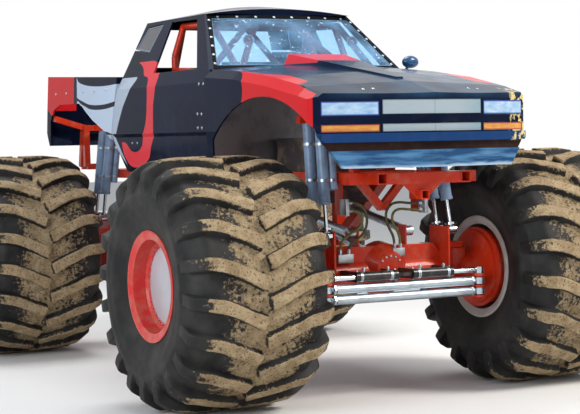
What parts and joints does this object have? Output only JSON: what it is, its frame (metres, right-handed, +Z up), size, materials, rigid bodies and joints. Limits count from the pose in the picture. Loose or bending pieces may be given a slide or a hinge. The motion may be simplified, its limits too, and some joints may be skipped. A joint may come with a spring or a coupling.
{
  "type": "monster truck",
  "caption": "Monster truck with a fibreglass pickup body on a tube chassis, planetary axles steered at both ends and tall dished flotation wheels.",
  "frame": {"origin": "on the ground, halfway between the axles and on the middle plane", "axes": "+X to the truck's left, +Y to the rear, +Z up"},
  "size_m": [3.59, 5.5258, 2.8056],
  "materials": {
    "tyre": "black rubber with dried mud",
    "chassis_red": "orange-red gloss enamel",
    "wheel_grey": "pale grey gloss",
    "hub_silver": "silver-white, bolt ring",
    "steel": "bright tube",
    "chrome": "chromed rods",
    "black_steel": "black gloss",
    "shock_silver": "pale grey-blue and brass tubes",
    "body_paint": "fibreglass in blue-black gloss with stripes",
    "glazing": "clear bolted sheet",
    "grille": "grey-teal gradient sheet",
    "headlamp": "pale blue mottled sheet",
    "turn_lamp": "orange to yellow sheet",
    "aluminium": "bare sheet",
    "engine": "plain masses",
    "black_plastic": "matt black",
    "seat_cloth": "black cloth",
    "mirror_blue": "dark blue housing"
  },
  "bodies": {
    "chassis": {"front_axle": "chassis_red", "front_links": "steel", "front_shock_bodies": "shock_silver", "front_shock_rods": "chrome", "front_steering_cylinders": "black_steel", "rear_axle": "chassis_red", "rear_links": "steel", "rear_shock_bodies": "shock_silver", "rear_shock_rods": "chrome", "rear_steering_cylinders": "black_steel", "side_frames": "chassis_red", "cross_members": "chassis_red", "shock_towers": "chassis_red", "front_frame": "chassis_red", "roll_cage": "chassis_red", "rear_tower": "chassis_red", "engine": "engine", "gearbox": "aluminium", "drive_shafts": "steel", "fuel_cell": "aluminium", "cab_shell": "body_paint", "windscreen": "glazing", "front_clip": "body_paint", "grille_panels": "grille", "headlamp_panels": "headlamp", "turn_lamp_panels": "turn_lamp", "bed_shell": "body_paint", "cab_floor": "aluminium", "firewall": "aluminium", "dash": "black_plastic", "seat": "seat_cloth", "steering_wheel": "black_plastic", "door_mirror": "mirror_blue"},
    "knuckle_front_r_body": {"knuckle_front_r": "chassis_red"},
    "wheel_front_r": {"tyre_front_r": "tyre", "rim_front_r": "wheel_grey", "hub_front_r": "hub_silver"},
    "knuckle_front_l_body": {"knuckle_front_l": "chassis_red"},
    "wheel_front_l": {"tyre_front_l": "tyre", "rim_front_l": "wheel_grey", "hub_front_l": "hub_silver"},
    "front_tie_rod_pair": {"front_tie_rods": "steel"},
    "front_ram_rods": {"front_steering_rods": "chrome"},
    "knuckle_rear_r_body": {"knuckle_rear_r": "chassis_red"},
    "wheel_rear_r": {"tyre_rear_r": "tyre", "rim_rear_r": "wheel_grey", "hub_rear_r": "hub_silver"},
    "knuckle_rear_l_body": {"knuckle_rear_l": "chassis_red"},
    "wheel_rear_l": {"tyre_rear_l": "tyre", "rim_rear_l": "wheel_grey", "hub_rear_l": "hub_silver"},
    "rear_tie_rod_pair": {"rear_tie_rods": "steel"},
    "rear_ram_rods": {"rear_steering_rods": "chrome"}
  },
  "joints": [
    {"name": "front_steer_r", "type": "hinge", "parent": "chassis", "child": "knuckle_front_r_body", "pos_m": [-0.61, -1.925, 0.838], "axis": [0, 0, 1], "range_deg": [-25, 25]},
    {"name": "wheel_roll_front_r", "type": "hinge", "parent": "knuckle_front_r_body", "child": "wheel_front_r", "pos_m": [-1.28, -1.925, 0.838], "axis": [1, 0, 0], "continuous": true},
    {"name": "front_steer_l", "type": "hinge", "parent": "chassis", "child": "knuckle_front_l_body", "pos_m": [0.61, -1.925, 0.838], "axis": [0, 0, 1], "range_deg": [-25, 25]},
    {"name": "wheel_roll_front_l", "type": "hinge", "parent": "knuckle_front_l_body", "child": "wheel_front_l", "pos_m": [1.28, -1.925, 0.838], "axis": [1, 0, 0], "continuous": true},
    {"name": "front_tie_rod_pin", "type": "hinge", "parent": "knuckle_front_r_body", "child": "front_tie_rod_pair", "pos_m": [-0.61, -2.245, 0.738], "axis": [0, 0, 1], "range_deg": [-25, 25]},
    {"name": "front_ram_slide", "type": "slide", "parent": "chassis", "child": "front_ram_rods", "axis": [1, 0, 0], "range_m": [-0.1354, 0.1354]},
    {"name": "rear_steer_r", "type": "hinge", "parent": "chassis", "child": "knuckle_rear_r_body", "pos_m": [-0.61, 1.925, 0.838], "axis": [0, 0, 1], "range_deg": [-20, 20]},
    {"name": "wheel_roll_rear_r", "type": "hinge", "parent": "knuckle_rear_r_body", "child": "wheel_rear_r", "pos_m": [-1.28, 1.925, 0.838], "axis": [1, 0, 0], "continuous": true},
    {"name": "rear_steer_l", "type": "hinge", "parent": "chassis", "child": "knuckle_rear_l_body", "pos_m": [0.61, 1.925, 0.838], "axis": [0, 0, 1], "range_deg": [-20, 20]},
    {"name": "wheel_roll_rear_l", "type": "hinge", "parent": "knuckle_rear_l_body", "child": "wheel_rear_l", "pos_m": [1.28, 1.925, 0.838], "axis": [1, 0, 0], "continuous": true},
    {"name": "rear_tie_rod_pin", "type": "hinge", "parent": "knuckle_rear_r_body", "child": "rear_tie_rod_pair", "pos_m": [-0.61, 2.245, 0.738], "axis": [0, 0, 1], "range_deg": [-20, 20]},
    {"name": "rear_ram_slide", "type": "slide", "parent": "chassis", "child": "rear_ram_rods", "axis": [1, 0, 0], "range_m": [-0.1096, 0.1096]}
  ],
  "couplings": [
    {"joint": "front_steer_l", "follows": "front_steer_r", "ratio": 1},
    {"joint": "front_tie_rod_pin", "follows": "front_steer_r", "ratio": -1},
    {"joint": "front_ram_slide", "follows": "front_steer_r", "m_per_rad": 0.30994},
    {"joint": "rear_steer_l", "follows": "rear_steer_r", "ratio": 1},
    {"joint": "rear_tie_rod_pin", "follows": "rear_steer_r", "ratio": -1},
    {"joint": "rear_ram_slide", "follows": "rear_steer_r", "m_per_rad": -0.31354}
  ]
}
